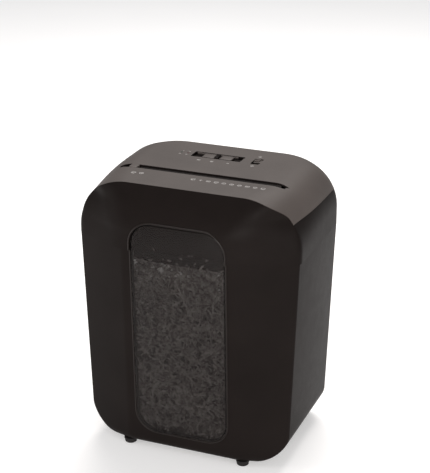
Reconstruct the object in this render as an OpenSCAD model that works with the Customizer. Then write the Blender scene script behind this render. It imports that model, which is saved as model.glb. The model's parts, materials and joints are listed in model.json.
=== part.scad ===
// Paper shredder with a lift-off cutting head over an eight-sided waste bin.
// X points right, Y points to the back, Z points up; the feet stand on z = 0.

/* [Bin] */
// Width of the bin at its rim
bin_w = 356; // [300:1:440]
// Depth of the bin at its rim
bin_d = 245; // [205:1:300]
// Height of the rim above the floor
rim_z = 345.7; // [290:1:420]
// Height of the feet
foot_h = 8; // [5:0.5:14]
// Radius of a foot
foot_r = 9.5; // [7:0.5:14]
// Wall thickness of the bin
bin_wall = 2.5; // [2:0.1:4]
// Lean of each wall, in mm of inset per mm of drop
bin_lean = 0.036; // [0.02:0.002:0.05]
// Depth of the front corner facets
front_facet_d = 38; // [30:1:46]
// Size of the rear corner facets
rear_facet = 24; // [18:1:32]
// Radius of the lower side corners
bin_corner_r = 58; // [40:1:70]

/* [Window] */
// Width of the smoked window
window_w = 151; // [130:1:180]
// Flat panel left beside the window
window_margin = 15; // [10:0.5:24]
// Height of the window above the rim
window_rise = 45; // [36:1:45]
// Bottom edge of the window above the floor
window_z = 37; // [30:1:80]
// Corner radius of the window
window_r = 34; // [20:1:40]
// Depth of the turned edge round the window
window_flange = 7; // [5:0.5:9]
// Thickness of the window
window_t = 2.4; // [1.6:0.1:3]
// How far the window stands out of the centre panel
window_proud = 2; // [1:0.5:3]
// Width of the bead round the window opening
bead_w = 2.2; // [1.5:0.1:3]
// Height of the bead above the panel
bead_h = 0.9; // [0.5:0.1:1.5]

/* [Head] */
// How far the head overhangs the bin at each side
side_overhang = 1.5; // [0:0.5:5]
// How far the head overhangs the bin at the front
front_overhang = 5.5; // [3:0.5:9]
// How far the head overhangs the bin at the back
back_overhang = 1.5; // [0:0.5:5]
// Height of the head above its seat
head_h = 96; // [90:1:116]
// Wall thickness of the head's shells
shell_t = 2.5; // [2:0.1:3.5]
// Depth of the skirt that drops into the bin
skirt_h = 36.6; // [30:0.5:44]
// Gap between the arch and the window it clears
arch_gap = 1; // [0.6:0.2:3]
// Depth of the recess behind the arch
recess_d = 37; // [30:1:40]
// Distance from the front of the head to the front edge of its top
crease_back = 32; // [29:1:36]
// Height where the grey cover meets the black shell
cover_split = 58; // [54:1:62]

/* [Throat and cutters] */
// Width of the paper entry
throat_w = 230; // [190:1:232]
// Middle of the paper entry across the head
throat_x = 11; // [8:1:12]
// Depth position of the paper entry
throat_y = -21; // [-23:1:-19]
// Gap of the paper entry
throat_gap = 7; // [6.2:0.2:8]
// Distance between the two cutter shafts
shaft_gap = 34; // [32:0.2:42]
// Height of the cutter shafts above the seat
cutter_z = 22; // [21:0.5:26]
// How far a disc reaches past the middle between the shafts
disc_overlap = 2.5; // [1.5:0.1:3]
// Thickness of a cutting disc
disc_t = 3.4; // [2.6:0.1:3.5]
// Distance from one disc to the next on a shaft
disc_pitch = 8; // [8:0.1:9]
// Clearance from a disc to the other cutter's core
core_gap = 2.5; // [1.5:0.1:3.5]
// Radius of a cutter's ends
journal_r = 8; // [7:0.1:9]
// Running clearance of a shaft in its bush
running_gap = 0.06; // [0.03:0.01:0.1]

/* [Drive] */
// Radius of the motor's can
motor_r = 25; // [22:0.5:26]
// Length of the motor's can
motor_l = 66; // [50:1:70]
// Radius of the motor's shaft
motor_shaft_r = 2.5; // [2:0.1:3]
// Clearance between moving parts that do not touch
free_gap = 0.8; // [0.5:0.1:1.2]

/* [Controls] */
// Travel of the selector to each side of its middle
selector_travel = 14; // [8:1:14]
// Travel of the safety lock
lock_travel = 10; // [6:1:10]
// Travel of the head-seated plunger
plunger_travel = 3; // [2:0.5:4]

/* [Hidden] */
$fn = 64;
eps = 0.01;
seat_gap = 0.3;
seat_z = rim_z + seat_gap;
head_w = bin_w + 2 * side_overhang;
head_d = bin_d + front_overhang + back_overhang;
bin_mid_y = (front_overhang - back_overhang) / 2;
bin_front_y = bin_mid_y - bin_d / 2;
bin_back_y = bin_mid_y + bin_d / 2;
bin_height = rim_z - foot_h;
panel_half = window_w / 2 + window_margin;
lean_angle = atan(bin_lean);
fit_gap = 0.6;
top_z = seat_z + head_h;
head_front_y = -head_d / 2;
head_back_y = head_d / 2;
crease_y = head_front_y + crease_back;
recess_y = head_front_y + recess_d;
arch_w = window_w + 2 * arch_gap;
arch_h = window_rise + arch_gap;
arch_r = window_r + arch_gap;
disc_r = shaft_gap / 2 + disc_overlap;
core_r = shaft_gap - disc_r - core_gap;
floor_t = 2.5;
floor_z = seat_z - 12;
housing_t = 2.4;
flange_t = 2.5;
window_half = window_w / 2;
arch_half = arch_w / 2;
throat_lo = throat_x - throat_w / 2;
throat_hi = throat_x + throat_w / 2;
plate_t = 2;
plate_left_x = throat_lo - 4;
plate_right_x = throat_hi + 4;
axis_z = seat_z + cutter_z;
front_axis_y = throat_y - shaft_gap / 2;
rear_axis_y = throat_y + shaft_gap / 2;
bush_r = journal_r + 4;
bush_flange_t = 1.2;

// Gear data: teeth, module, face width and the gap between neighbouring gears.
pressure_angle = 20;
backlash = 0.24;
gear_step = 1;
cutter_teeth = 17;
cutter_module = shaft_gap / cutter_teeth;
cutter_gear_w = 9;
drive_teeth = 36;
second_small_teeth = 14;
second_module = 1.5;
drive_gear_w = 10;
second_large_teeth = 44;
first_small_teeth = 14;
first_module = 1;
second_gear_w = 8;
first_large_teeth = 48;
pinion_teeth = 12;
pinion_module = 0.8;
first_gear_w = 7;
second_dir = 10;
first_dir = 5;
pinion_dir = 40;
second_dist = second_module * (drive_teeth + second_small_teeth) / 2;
first_dist = first_module * (second_large_teeth + first_small_teeth) / 2;
pinion_dist = pinion_module * (first_large_teeth + pinion_teeth) / 2;
second_y = rear_axis_y + second_dist * cos(second_dir);
second_z = axis_z + second_dist * sin(second_dir);
first_y = second_y + first_dist * cos(first_dir);
first_z = second_z + first_dist * sin(first_dir);
motor_y = first_y + pinion_dist * cos(pinion_dir);
motor_z = first_z + pinion_dist * sin(pinion_dir);
cutter_gear_x = plate_left_x - 3 - cutter_gear_w;
drive_gear_x = cutter_gear_x - gear_step - drive_gear_w;
second_gear_x = drive_gear_x - 2 * gear_step - second_gear_w;
first_gear_x = second_gear_x - gear_step - first_gear_w;
gear_cover_x = first_gear_x - 2 * gear_step - plate_t;
axle_r = 3;
shaft_end_left = drive_gear_x - 0.6;
shaft_end_right = plate_right_x + plate_t + 4;

// Controls on the top, as places seen from above.
selector_x = -9;
selector_y = 66;
selector_plate = [50, 18];
selector_well = [84, 24];
well_depth = 4.4;
well_floor_t = 2;
lock_x = 56;
lock_y = 66;
lock_knob = [12, 14];
lock_well = [14, 26];
thumb_h = 2;
lamp_r = 1.6;
lamp_y = 66.3;
lamp_x = [-71, -60];
board_x = [-84, 76];
board_y = [50, 83];
board_t = 1.6;
board_z = top_z - 18;
sensor_z = axis_z + 46;
sensor_y = throat_y + 14;
sensor_w = 5;
pin_r = 1.2;
plunger_y = bin_back_y - 14;
plunger_r = 2.6;
plunger_tip_z = rim_z - 46;
gland_x = 118;
gland_z = seat_z + 26;
gland_r = 6.5;
gland_bore_r = 3.6;
gland_l = 14;

// Fasteners and the clearance of parts pressed together.
bore_gap = 0.02;
screw_r = 1.8;
frame_screw_r = 2;
frame_screw_x = [plate_left_x - 8, plate_right_x + plate_t + 8];
frame_screw_y = [front_axis_y - 24, motor_y + 10];
motor_screw_r = 1.5;
motor_screw_z = 17;

black = [0.09, 0.085, 0.085];
charcoal = [0.27, 0.26, 0.26];
steel = [0.72, 0.73, 0.75];
cutter_steel = [0.55, 0.56, 0.58];
nylon = [0.85, 0.84, 0.80];

// ---- outlines seen from above ----

// Mirrors the right half of an outline, listed from front to back, to the left.
function both_sides(right) = concat(right, [for (i = [len(right) - 1:-1:0]) [-right[i][0], right[i][1]]]);

// Eight-sided outline of the bin, drop mm below its rim, moved in by inset.
function bin_outline(drop, inset = 0) =
    let (d = drop * bin_lean + inset, k = tan(22.5) * inset)
    both_sides([
        [panel_half - k / 2, bin_front_y + d],
        [bin_w / 2 - d, bin_front_y + front_facet_d + k / 2],
        [bin_w / 2 - d, bin_back_y - rear_facet - k],
        [bin_w / 2 - rear_facet - k, bin_back_y - d]
    ]);

// Quarter-ellipse half widths of the head's side profile, near its front and its rear.
front_shoulder = 87.6;
rear_shoulder = 59.6;
front_flat = head_w / 2 - front_shoulder;
rear_flat = head_w / 2 - rear_shoulder;
front_spring = 13;
rear_spring = 30;
function side_profile(h, flat, spring) =
    flat + (head_w / 2 - flat) * sqrt(max(0, 1 - pow(max(0, h - spring) / (head_h - spring), 2)));

// Front face of the head: upright low down, then sloping back to the crease.
face_spring = 34;
face_power = 1.6;
function face_y(h) =
    head_front_y
    + (crease_y - head_front_y) * pow(max(0, h - face_spring) / (head_h - face_spring), face_power);

// The crease is straight across the middle and bends back past crease_straight.
crease_straight = head_w / 2 - 54.5;
crease_bend = 47;
function crease_at(x) = crease_y + pow(max(0, x - crease_straight), 2) / crease_bend;
corner_low_y = head_front_y + 43;
function corner_y(h) = h < 70
    ? corner_low_y + (crease_at(side_profile(70, front_flat, front_spring)) - corner_low_y) * pow(h / 70, 2)
    : crease_at(side_profile(h, front_flat, front_spring));

// Outline of the head at height h above its seat, moved in by inset.
function head_outline(h, inset = 0) =
    let (
        front_half = side_profile(h, front_flat, front_spring),
        rear_half = side_profile(h, rear_flat, rear_spring),
        back = head_back_y - 6 * pow(h / head_h, 2) - inset
    )
    both_sides([
        [min(panel_half + 22 * h / head_h, front_half) - inset / 2, min(face_y(h), corner_y(h)) + inset],
        [front_half - inset, corner_y(h) + inset / 2],
        [rear_half - inset, 0],
        [rear_half - inset, back - rear_facet],
        [rear_half - rear_facet + inset / 4, back]
    ]);

head_levels = [0, 13, 30, 44, 58, 70, 80, 88, 93, 96];

// Solid of the head's outer form, moved in by inset on every side but the bottom.
module head_form(inset = 0) {
    squash = (head_h - inset) / head_h;
    hull()
        for (level = head_levels) {
            h = level * head_h / 96;
            translate([0, 0, seat_z + h * squash])
                linear_extrude(eps) polygon(head_outline(h, inset));
        }
}

// Plan of what lies behind the crease, used to part the cover from the shell.
module behind_crease(gap) {
    polygon(both_sides([
        [crease_straight, crease_y + gap],
        [crease_straight + 15, crease_at(crease_straight + 15) + gap],
        [crease_straight + 31, crease_at(crease_straight + 31) + gap],
        [head_w, crease_at(crease_straight + 31) + gap],
        [head_w, head_d]
    ]));
}

module rounded_box(size, r, h) {
    linear_extrude(h) offset(r) square([size[0] - 2 * r, size[1] - 2 * r], center = true);
}

// Outline of the arch: square at its foot, round at its two upper corners.
module arch_outline(grow = 0) {
    w = arch_w / 2 + grow;
    h = arch_h + grow;
    r = arch_r + grow;
    union() {
        translate([-w, -10]) square([2 * w, h - r + 10]);
        translate([-w + r, 0]) square([2 * (w - r), h]);
        for (side = [-1, 1])
            translate([side * (w - r), h - r]) circle(r);
    }
}

// Puts a flat outline upright, facing the front, with its depth running back from y.
module upright(y, depth) {
    translate([0, y + depth, 0]) rotate([90, 0, 0]) linear_extrude(depth) children();
}

// Turns a flat outline so that it stands across X, from x for the given width.
module across(x, width) {
    translate([x, 0, 0]) rotate([90, 0, 90]) linear_extrude(width) children();
}

module rod_x(x, y, z, length, r) {
    translate([x, y, z]) rotate([0, 90, 0]) cylinder(h = length, r = r);
}

// ---- bin ----

// Front view of the bin: straight sides over two round lower corners.
module bin_front_view(inset) {
    low = foot_h + inset;
    half = bin_w;
    flat = bin_w / 2 - bin_height * bin_lean - bin_corner_r;
    r = bin_corner_r - inset;
    union() {
        translate([-half, foot_h + bin_corner_r]) square([2 * half, bin_height]);
        translate([-flat, low]) square([2 * flat, bin_corner_r]);
        for (side = [-1, 1])
            translate([side * flat, foot_h + bin_corner_r])
                intersection() {
                    scale([1.06, 1]) circle(r);
                    translate([-r * 2, -r]) square([r * 4, r]);
                }
    }
}

module bin_form(inset) {
    intersection() {
        hull() {
            translate([0, 0, foot_h - eps])
                linear_extrude(eps) polygon(bin_outline(bin_height, inset));
            translate([0, 0, rim_z - eps]) linear_extrude(eps) polygon(bin_outline(0, inset));
        }
        translate([0, -bin_d, 0]) upright(0, 2 * bin_d) bin_front_view(inset);
    }
}

// Places children on the leaning centre panel: local X across, Y up the panel from the rim.
module on_front_panel() {
    translate([0, bin_front_y, rim_z]) rotate([90 + lean_angle, 0, 0]) children();
}

module window_outline(grow = 0) {
    low = window_z - rim_z;
    offset(window_r + grow)
        translate([-window_half + window_r, low + window_r])
            square([window_w - 2 * window_r, window_rise - low - 2 * window_r]);
}

module bin_tub() color(black) {
    difference() {
        union() {
            difference() {
                bin_form(0);
                translate([0, 0, eps]) bin_form(bin_wall);
                translate([0, 0, rim_z - 1]) linear_extrude(2) polygon(bin_outline(0, bin_wall));
            }
            // bead round the window opening
            on_front_panel()
                translate([0, 0, -bin_wall / 2])
                    linear_extrude(bin_wall / 2 + bead_h)
                        intersection() {
                            window_outline(fit_gap + bead_w);
                            translate([-bin_w, -rim_z]) square([2 * bin_w, rim_z - seat_gap]);
                        }
            interlock_rib();
        }
        on_front_panel()
            translate([0, 0, -3 * bin_wall])
                linear_extrude(6 * bin_wall) window_outline(fit_gap);
    }
}

// Rib inside the rear wall that lifts the head-seated plunger.
module interlock_rib() {
    drop = rim_z - plunger_tip_z + seat_gap;
    back = bin_back_y - bin_lean * drop - bin_wall / 2;
    translate([-5, plunger_y - 6, plunger_tip_z - seat_gap - 26])
        cube([10, back - plunger_y + 6, 26]);
}

// Shallow tray with its edge turned inwards.
module bin_window() color([0.25, 0.23, 0.23, 0.6]) {
    on_front_panel()
        difference() {
            translate([0, 0, window_proud - window_flange]) linear_extrude(window_flange) window_outline();
            translate([0, 0, window_proud - window_flange - eps])
                linear_extrude(window_flange - window_t + eps) window_outline(-window_t);
        }
}

foot_x = panel_half + 5.5;
foot_front_y = bin_front_y + bin_height * bin_lean + 15.3;
foot_rear_y = bin_back_y - bin_height * bin_lean - 14.3;
module foot(x, y) color([0.13, 0.13, 0.13]) {
    translate([x, y, 0]) {
        cylinder(h = foot_h, r = foot_r);
        translate([0, 0, 1]) cylinder(h = foot_h - 1, r = foot_r + 1);
    }
}

module foot_front_left() { foot(-foot_x, foot_front_y); }
module foot_front_right() { foot(foot_x, foot_front_y); }
module foot_rear_left() { foot(-foot_x, foot_rear_y); }
module foot_rear_right() { foot(foot_x, foot_rear_y); }

// ---- head shells ----

groove_half = 6;
groove_depth = 5;

module throat_cut() {
    translate([throat_lo, throat_y - throat_gap / 2, seat_z + head_h / 2])
        cube([throat_w, throat_gap, head_h]);
    across(-head_w / 2, head_w)
        polygon([
            [throat_y - groove_half, top_z + 1], [throat_y - throat_gap / 2, top_z - groove_depth],
            [throat_y + throat_gap / 2, top_z - groove_depth], [throat_y + groove_half, top_z + 1]
        ]);
}

// Box under a control well, leaving a floor below it and walls around it.
module well_body(x, y, size) {
    translate([x, y, top_z - well_depth - well_floor_t])
        rounded_box([size[0] + 4, size[1] + 4], 3, well_depth + well_floor_t - shell_t / 2);
}

module well_cut(x, y, size) {
    translate([x, y, top_z - well_depth]) rounded_box(size, 2, well_depth + 1);
}

module top_cover() color(charcoal) {
    difference() {
        union() {
            intersection() {
                difference() {
                    head_form(0);
                    head_form(shell_t);
                }
                translate([0, 0, seat_z + cover_split + seat_gap])
                    linear_extrude(head_h) behind_crease(seat_gap);
            }
            well_body(selector_x, selector_y, selector_well);
            well_body(lock_x, lock_y, lock_well);
            // trough that carries the groove over the entry
            translate([throat_lo - 8, throat_y - groove_half - 2, top_z - groove_depth - 1.6])
                cube([throat_w + 16, 2 * groove_half + 4, groove_depth - 0.4]);
            for (x = board_x)
                for (y = board_y)
                    translate([x - 5 * sign(x), y - 5 * sign(y - selector_y), board_z + board_t])
                        cylinder(h = top_z - shell_t - board_z - board_t + 1, r = 3.2);
        }
        throat_cut();
        well_cut(selector_x, selector_y, selector_well);
        well_cut(lock_x, lock_y, lock_well);
        // slots for the stems of the two sliders
        translate([selector_x, selector_y, top_z - 10])
            linear_extrude(10) square([2 * selector_travel + 8, 6], center = true);
        translate([lock_x, lock_y, top_z - 10])
            linear_extrude(10) square([6, lock_well[1] - 6], center = true);
        for (x = lamp_x)
            translate([x, lamp_y, top_z - 10]) cylinder(h = 20, r = lamp_r + 0.1);
        for (x = board_x)
            for (y = board_y)
                translate([x - 5 * sign(x), y - 5 * sign(y - selector_y), board_z])
                    cylinder(h = 12, r = 1.2);
    }
}

vent_count = 12;
post_x = head_w / 2 - 24;
post_y = [bin_front_y + 44.5, bin_back_y - 40.5];
shell_seam_y = post_y[0] + 9;
post_r = 4.5;
post_low = floor_z + floor_t + 0.1;
post_high = seat_z + 13.5;
web_t = 2.4;

// Two posts inside the shell that take housing screws, each with a web to the side wall.
module shell_posts(y) {
    web_l = head_w / 2 - shell_t / 2 - post_x;
    for (side = [-1, 1])
        difference() {
            union() {
                translate([side * post_x, y, post_low]) cylinder(h = post_high - post_low, r = post_r);
                translate([side * post_x - (side < 0 ? web_l : 0), y - web_t / 2, seat_z + flange_t + 1.5])
                    cube([web_l, web_t, 8]);
            }
            translate([side * post_x, y, floor_z]) cylinder(h = 12, r = screw_r + bore_gap);
        }
}

// Wall of the head below the cover, between two depths.
module shell_wall(y0, y1) {
    intersection() {
        difference() {
            head_form(0);
            translate([0, 0, -5 * eps]) head_form(shell_t);
        }
        difference() {
            translate([-head_w, y0, seat_z]) cube([2 * head_w, y1 - y0, head_h + 1]);
            translate([0, 0, seat_z + cover_split]) linear_extrude(head_h) behind_crease(0);
        }
    }
}

module front_shell() color(black) {
    shell_posts(post_y[0]);
    difference() {
        shell_wall(-head_d, shell_seam_y);
        translate([0, 0, seat_z]) upright(head_front_y - 10, recess_d) arch_outline();
    }
}

module rear_shell() color(black) {
    shell_posts(post_y[1]);
    difference() {
        shell_wall(shell_seam_y + seat_gap, head_d);
        // cord hole and vents in the back
        translate([gland_x, head_back_y - 12, gland_z])
            rotate([-90, 0, 0]) cylinder(h = 20, r = gland_r + 0.1);
        for (i = [0:vent_count - 1])
            translate([-110 + 9 * i, head_back_y - 12, seat_z + 20]) cube([4, 20, 26]);
    }
}

// Plan of the skirt: the bin's inner wall at the skirt's foot, less the fitting gap.
module skirt_plan(inset = 0) {
    intersection() {
        offset(delta = -(bin_wall + 1.2 + inset)) polygon(bin_outline(skirt_h));
        translate([-bin_w, bin_front_y + 11.5 + inset]) square([2 * bin_w, bin_d]);
    }
}

recess_low_half = panel_half + 7.5;
outlet_y = [front_axis_y - 20, rear_axis_y + 20];

module lower_housing() color(black) {
    skirt_z = seat_z - skirt_h;
    difference() {
        union() {
            // skirt, with its front middle set back behind the recess panel
            translate([0, 0, skirt_z])
                linear_extrude(skirt_h + flange_t)
                    difference() {
                        skirt_plan();
                        skirt_plan(housing_t);
                    }
            // floor that carries the cutting frame
            translate([0, 0, floor_z]) linear_extrude(floor_t) skirt_plan(housing_t / 2);
            // flange that closes the gap to the outer shell and rests on the rim
            translate([0, 0, seat_z])
                linear_extrude(flange_t)
                    difference() {
                        polygon(head_outline(0, shell_t + 0.2));
                        skirt_plan(housing_t / 2);
                    }
            // cheeks that close each skirt block beside the recess
            for (side = [-1, 1])
                translate([side * (recess_low_half + housing_t / 2) - housing_t / 2, bin_front_y + 12, skirt_z])
                    cube([housing_t, recess_y - bin_front_y - 12 + housing_t, skirt_h + flange_t]);
        }
        // space below and in front of the recess panel
        translate([-recess_low_half, bin_front_y - 20, skirt_z - 1])
            cube([2 * recess_low_half, recess_y - bin_front_y + 20, skirt_h + 1 - eps]);
        translate([0, 0, seat_z]) upright(head_front_y - 10, recess_y - head_front_y + 10) arch_outline();
        translate([-arch_half, head_front_y, seat_z - 1]) cube([arch_w, recess_y - head_front_y, 10]);
        // outlet under the cutters
        translate([plate_left_x + plate_t + 1, outlet_y[0], floor_z - 1])
            cube([plate_right_x - plate_left_x - plate_t - 2, outlet_y[1] - outlet_y[0], floor_t + 2]);
        translate([0, plunger_y, floor_z - 1]) cylinder(h = floor_t + 2, r = plunger_r + 0.1);
        for (side = [-1, 1])
            for (y = post_y)
                translate([side * post_x, y, floor_z - 1]) cylinder(h = floor_t + 2, r = screw_r + 0.1);
        for (x = frame_screw_x)
            for (y = frame_screw_y)
                translate([x, y, floor_z - 1]) cylinder(h = floor_t + 2, r = frame_screw_r + 0.1);
    }
    // panel at the back of the recess, with the hood over the arch
    difference() {
        union() {
            translate([-recess_low_half, recess_y, skirt_z])
                cube([2 * recess_low_half, housing_t, skirt_h + flange_t]);
            translate([0, 0, seat_z])
                upright(head_front_y + 5, recess_y - head_front_y - 5 + housing_t) arch_outline(housing_t);
        }
        translate([0, 0, seat_z]) upright(head_front_y - 10, recess_y - head_front_y + 10) arch_outline();
        translate([-arch_half - housing_t, head_front_y, skirt_z])
            cube([arch_w + 2 * housing_t, recess_y - head_front_y, skirt_h]);
        difference() {
            translate([-head_w, -head_d, seat_z - skirt_h / 2]) cube([2 * head_w, head_d * 2, 2 * head_h]);
            translate([0, 0, -eps]) head_form(shell_t + 0.2);
            translate([-head_w, -head_d, seat_z - skirt_h]) cube([2 * head_w, head_d * 2, skirt_h]);
        }
    }
}

// ---- paper path ----

guide_t = 2;
guide_top = top_z - groove_depth - 2;
guide_low = axis_z + 18.5;
module throat_guide(side) {
    lip = throat_gap / 2;
    across(plate_left_x + plate_t + 0.2, plate_right_x - plate_left_x - plate_t - 0.4)
        polygon([
            [throat_y + side * (lip - 0.6), guide_low], [throat_y + side * (lip + 1), guide_top],
            [throat_y + side * (lip + 1 + guide_t), guide_top],
            [throat_y + side * (lip - 0.6 + guide_t), guide_low]
        ]);
}

sensor_slot_w = sensor_w + 3;
module throat_guide_front() color(charcoal) {
    difference() {
        throat_guide(-1);
        translate([throat_x - sensor_slot_w / 2, throat_y - 20, sensor_z - 12]) cube([sensor_slot_w, 20, 20]);
    }
}

module throat_guide_rear() color(charcoal) {
    difference() {
        throat_guide(1);
        translate([throat_x - sensor_slot_w / 2, throat_y, sensor_z - 12]) cube([sensor_slot_w, 20, 20]);
    }
}

// ---- frame ----

rod_places = [
    [front_axis_y - 28, axis_z - 17], [front_axis_y - 28, axis_z + 26],
    [rear_axis_y + 28, axis_z - 22], [rear_axis_y + 30, axis_z + 38]
];
rod_r = 4;
rod_screw_r = 2;

module plate_outline() {
    y0 = front_axis_y - 36;
    y1 = motor_y + motor_r + 2;
    z0 = floor_z + floor_t;
    z1 = motor_z + motor_r - 3;
    difference() {
        translate([y0 + 6, z0 + 6]) offset(6) square([y1 - y0 - 12, z1 - z0 - 12]);
        for (y = [front_axis_y, rear_axis_y]) translate([y, axis_z]) circle(bush_r + 0.02);
        for (p = rod_places) translate(p) circle(rod_screw_r + 0.1);
    }
}

// Foot tabs bent out from the plate, with holes for the frame screws.
module plate_feet(x, side) {
    for (y = frame_screw_y)
        difference() {
            translate([min(x, x + side * 14), y - 8, floor_z + floor_t]) cube([14, 16, plate_t]);
            translate([x + side * 8, y, floor_z]) cylinder(h = 10, r = frame_screw_r + 0.1);
        }
}

module side_plate_left() color(steel) {
    difference() {
        across(plate_left_x, plate_t) plate_outline();
        rod_x(plate_left_x - 1, motor_y, motor_z, 4, motor_shaft_r + 5);
        rod_x(plate_left_x - 1, second_y, second_z, 4, axle_r + 1.02);
        rod_x(plate_left_x - 1, first_y, first_z, 4, axle_r + 0.02);
        for (side = [-1, 1])
            rod_x(plate_left_x - 1, motor_y, motor_z + side * motor_screw_z, 4, motor_screw_r + 0.1);
    }
    plate_feet(plate_left_x, -1);
}

module side_plate_right() color(steel) {
    across(plate_right_x, plate_t) plate_outline();
    plate_feet(plate_right_x + plate_t, 1);
}

module tie_rods() color(steel) {
    inner = plate_right_x - plate_left_x - plate_t;
    for (p = rod_places) {
        rod_x(plate_left_x + plate_t, p[0], p[1], inner, rod_r);
        rod_x(plate_left_x - 2, p[0], p[1], inner + 2 * plate_t + 4, rod_screw_r);
    }
}

module bush(x, y, flange_x) {
    difference() {
        union() {
            rod_x(x, y, axis_z, plate_t, bush_r);
            rod_x(flange_x, y, axis_z, bush_flange_t, bush_r + 1.6);
        }
        rod_x(x - 5, y, axis_z, 12, journal_r + running_gap);
    }
}

module cutter_bushes() color([0.72, 0.55, 0.28]) {
    for (y = [front_axis_y, rear_axis_y]) {
        bush(plate_left_x, y, plate_left_x - bush_flange_t);
        bush(plate_right_x, y, plate_right_x + plate_t);
    }
}

// ---- cutters ----

disc_count = floor(throat_w / disc_pitch);
front_disc_x = throat_x - (disc_count - 1) * disc_pitch / 2;
rear_disc_x = front_disc_x + disc_pitch / 2;
notch_count = 5;
notch_deg = 9;

// One disc: a round blade with hooked notches that chop the strips to length.
module cutting_disc() {
    difference() {
        circle(disc_r);
        for (i = [0:notch_count - 1])
            rotate(i * 360 / notch_count)
                polygon([
                    [disc_r - 3.6, 0], [disc_r + 1, 0],
                    [(disc_r + 1) * cos(notch_deg), (disc_r + 1) * sin(notch_deg)]
                ]);
    }
}

module cutter(y, first_x, count, left_end, twist) {
    core_lo = plate_left_x + plate_t + 0.5;
    core_hi = plate_right_x - 0.5;
    rod_x(left_end, y, axis_z, shaft_end_right - left_end, journal_r);
    rod_x(core_lo, y, axis_z, core_hi - core_lo, core_r);
    for (i = [0:count - 1])
        translate([0, y, axis_z])
            across(first_x + i * disc_pitch - disc_t / 2, disc_t)
                rotate(i * twist) cutting_disc();
}

module cutter_front() color(cutter_steel) {
    cutter(front_axis_y, front_disc_x, disc_count, cutter_gear_x - 0.6, 13);
}

module cutter_rear() color(cutter_steel) {
    cutter(rear_axis_y, rear_disc_x, disc_count - 1, shaft_end_left, -13);
}

// A comb: a bar with one finger in each gap between the discs, up against the core.
module stripper_comb(axis_y, side, first_x, count) {
    bar_y = axis_y + side * (disc_r + 3.4);
    finger_y = axis_y + side * (core_r + 0.7);
    finger_w = disc_pitch - disc_t - 2;
    lo = plate_left_x + plate_t + 0.2;
    translate([lo, min(bar_y, bar_y + side * 4), axis_z - 12])
        cube([plate_right_x - lo - 0.2, 4, 24]);
    for (i = [0:count - 2])
        translate([first_x + (i + 0.5) * disc_pitch - finger_w / 2, min(finger_y, bar_y + side), axis_z - 9])
            cube([finger_w, abs(bar_y + side - finger_y), 18]);
}

module stripper_comb_front() color(charcoal) {
    stripper_comb(front_axis_y, -1, front_disc_x, disc_count);
}

module stripper_comb_rear() color(charcoal) {
    stripper_comb(rear_axis_y, 1, rear_disc_x, disc_count - 1);
}

// ---- gears ----

function polar(r, a) = [r * cos(a), r * sin(a)];
function involute_turn(q) = q * 180 / PI - atan(q);
function base_r(teeth, mod) = teeth * mod / 2 * cos(pressure_angle);

// Half of a tooth's angle at radius r, from the involute of its base circle.
function tooth_half(r, teeth, mod) =
    let (
        q = sqrt(max(0, pow(r / base_r(teeth, mod), 2) - 1)),
        at_pitch = 90 / teeth - backlash / 2 / (teeth * mod / 2) * 180 / PI
    )
    at_pitch + involute_turn(tan(pressure_angle)) - involute_turn(q);

function gear_points(teeth, mod) =
    let (
        tip = teeth * mod / 2 + 0.92 * mod,
        root = teeth * mod / 2 - 1.25 * mod,
        start = max(root, base_r(teeth, mod)),
        flank = [root, start, (2 * start + tip) / 3, (start + 2 * tip) / 3, tip]
    )
    [for (k = [0:teeth - 1]) for (s = [0:9])
        let (r = flank[s < 5 ? s : 9 - s], side = s < 5 ? -1 : 1)
        polar(r, k * 360 / teeth + side * tooth_half(r, teeth, mod))];

// Turn of a gear that puts its gap opposite its neighbour's tooth.
// dir is the direction from the neighbour, whose own turn is phase.
function mesh_turn(phase, dir, teeth, own_teeth) =
    dir + 180 - ((phase - dir) * teeth / 360 + 0.5) * 360 / own_teeth;

module gear(x, y, z, width, teeth, mod, turn) {
    translate([0, y, z]) across(x, width) rotate(turn) polygon(gear_points(teeth, mod));
}

module cutter_front_gear() color(steel) {
    difference() {
        gear(cutter_gear_x, front_axis_y, axis_z, cutter_gear_w, cutter_teeth, cutter_module,
            mesh_turn(0, 180, cutter_teeth, cutter_teeth));
        rod_x(cutter_gear_x - 1, front_axis_y, axis_z, cutter_gear_w + 2, journal_r + bore_gap);
    }
}

module cutter_rear_gear() color(steel) {
    difference() {
        gear(cutter_gear_x, rear_axis_y, axis_z, cutter_gear_w, cutter_teeth, cutter_module, 0);
        rod_x(cutter_gear_x - 1, rear_axis_y, axis_z, cutter_gear_w + 2, journal_r + bore_gap);
    }
}

module drive_gear() color(nylon) {
    difference() {
        gear(drive_gear_x, rear_axis_y, axis_z, drive_gear_w, drive_teeth, second_module, 0);
        rod_x(drive_gear_x - 1, rear_axis_y, axis_z, drive_gear_w + 2, journal_r + bore_gap);
    }
}

module second_gear() color(nylon) {
    small_w = drive_gear_w + gear_step;
    difference() {
        union() {
            gear(drive_gear_x - gear_step - eps, second_y, second_z, small_w, second_small_teeth,
                second_module, mesh_turn(0, second_dir, drive_teeth, second_small_teeth));
            rod_x(second_gear_x, second_y, second_z, second_gear_w + 2 * gear_step, 8);
            gear(second_gear_x, second_y, second_z, second_gear_w, second_large_teeth, first_module, 0);
        }
        rod_x(second_gear_x - 1, second_y, second_z, 30, axle_r + 1 + running_gap);
    }
}

module first_gear() color(nylon) {
    small_w = second_gear_w + gear_step;
    difference() {
        union() {
            gear(second_gear_x - gear_step - eps, first_y, first_z, small_w, first_small_teeth,
                first_module, mesh_turn(0, first_dir, second_large_teeth, first_small_teeth));
            gear(first_gear_x, first_y, first_z, first_gear_w, first_large_teeth, pinion_module, 0);
        }
        rod_x(first_gear_x - 1, first_y, first_z, 30, axle_r + running_gap);
    }
}

axle_end = gear_cover_x + plate_t / 2;
module second_gear_axle() color(steel) {
    rod_x(axle_end, second_y, second_z, plate_left_x + plate_t - axle_end, axle_r + 1);
}

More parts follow.
